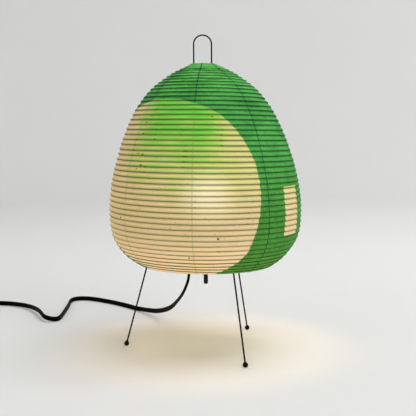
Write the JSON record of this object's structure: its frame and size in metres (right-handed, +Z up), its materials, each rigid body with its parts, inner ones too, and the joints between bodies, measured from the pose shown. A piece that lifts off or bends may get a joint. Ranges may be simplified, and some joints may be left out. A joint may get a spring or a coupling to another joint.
{
  "type": "paper table lantern",
  "caption": "Ribbed egg-shaped paper lantern lamp on bent wire legs, with a wire handle, a bulb, a turn knob and a mains cord with plug.",
  "frame": {"origin": "on the floor under the lamp's vertical axis, at the bottom centre of the lamp without its mains cord", "axes": "+Z up along the lamp's axis; -Y towards the front, the side of the pale disc; +X to the right seen from the front"},
  "size_m": [0.5777, 0.4416, 0.4279],
  "materials": {
    "washi_green": "matte, translucent, printed",
    "washi_cream": "matte, translucent",
    "bamboo": "natural",
    "black_wire": "satin black",
    "black_plastic": "satin",
    "black_cord": "satin",
    "steel": "plated",
    "brass": "bright",
    "porcelain": "glazed",
    "opal_glass": "opal"
  },
  "bodies": {
    "stand": {"leg_hub": "black_wire", "stretcher_hairpin": "black_wire", "leg_left": "black_wire", "leg_front": "black_wire", "leg_back": "black_wire", "foot_left": "black_wire", "foot_front": "black_wire", "foot_back": "black_wire", "hub_nut": "steel", "threaded_nipple": "steel", "switch_body": "black_plastic", "socket_cap": "black_plastic", "socket_shell": "black_plastic", "cord_grommet": "black_plastic", "cord_tie": "black_plastic", "plug_body": "black_plastic", "plug_relief": "black_plastic", "screw_shell": "brass", "centre_contact": "brass", "plug_pin_1": "brass", "plug_pin_2": "brass", "lead_wire_1": "black_cord", "lead_wire_2": "black_cord", "cord": "black_cord", "cord_coil": "black_cord", "cord_tail": "black_cord", "socket_insulator": "porcelain"},
    "shade": {"shade_gore_1": "washi_cream", "shade_gore_2": "washi_cream", "shade_gore_3": "washi_cream", "shade_gore_4": "washi_green", "shade_gore_5": "washi_green", "shade_gore_6": "washi_green", "shade_gore_7": "washi_green", "shade_gore_8": "washi_green", "shade_rib": "bamboo", "shade_top_ring": "black_wire", "shade_bottom_ring": "black_wire", "shade_hook_left": "black_wire", "shade_hook_front": "black_wire", "shade_hook_back": "black_wire"},
    "knob": {"switch_shaft": "brass", "switch_knob": "black_plastic"},
    "bulb_carrier": {"bulb_tip": "brass"},
    "bulb": {"bulb_base": "steel", "bulb_glass": "opal_glass"}
  },
  "joints": [
    {"name": "shade_lift", "type": "slide", "parent": "stand", "child": "shade", "axis": [0, 0, 1], "range_m": [0, 0.33]},
    {"name": "switch_knob_turn", "type": "hinge", "parent": "stand", "child": "knob", "pos_m": [0, 0, 0.106], "axis": [0, 0, 1], "continuous": true},
    {"name": "bulb_rise", "type": "slide", "parent": "stand", "child": "bulb_carrier", "axis": [0, 0, 1], "range_m": [0, 0.00907]},
    {"name": "bulb_turn", "type": "hinge", "parent": "bulb_carrier", "child": "bulb", "pos_m": [0, 0, 0.1548], "axis": [0, 0, 1], "range_deg": [0, 900]}
  ],
  "couplings": [
    {"joint": "bulb_turn", "follows": "bulb_rise", "rad_per_m": 1730.9}
  ]
}
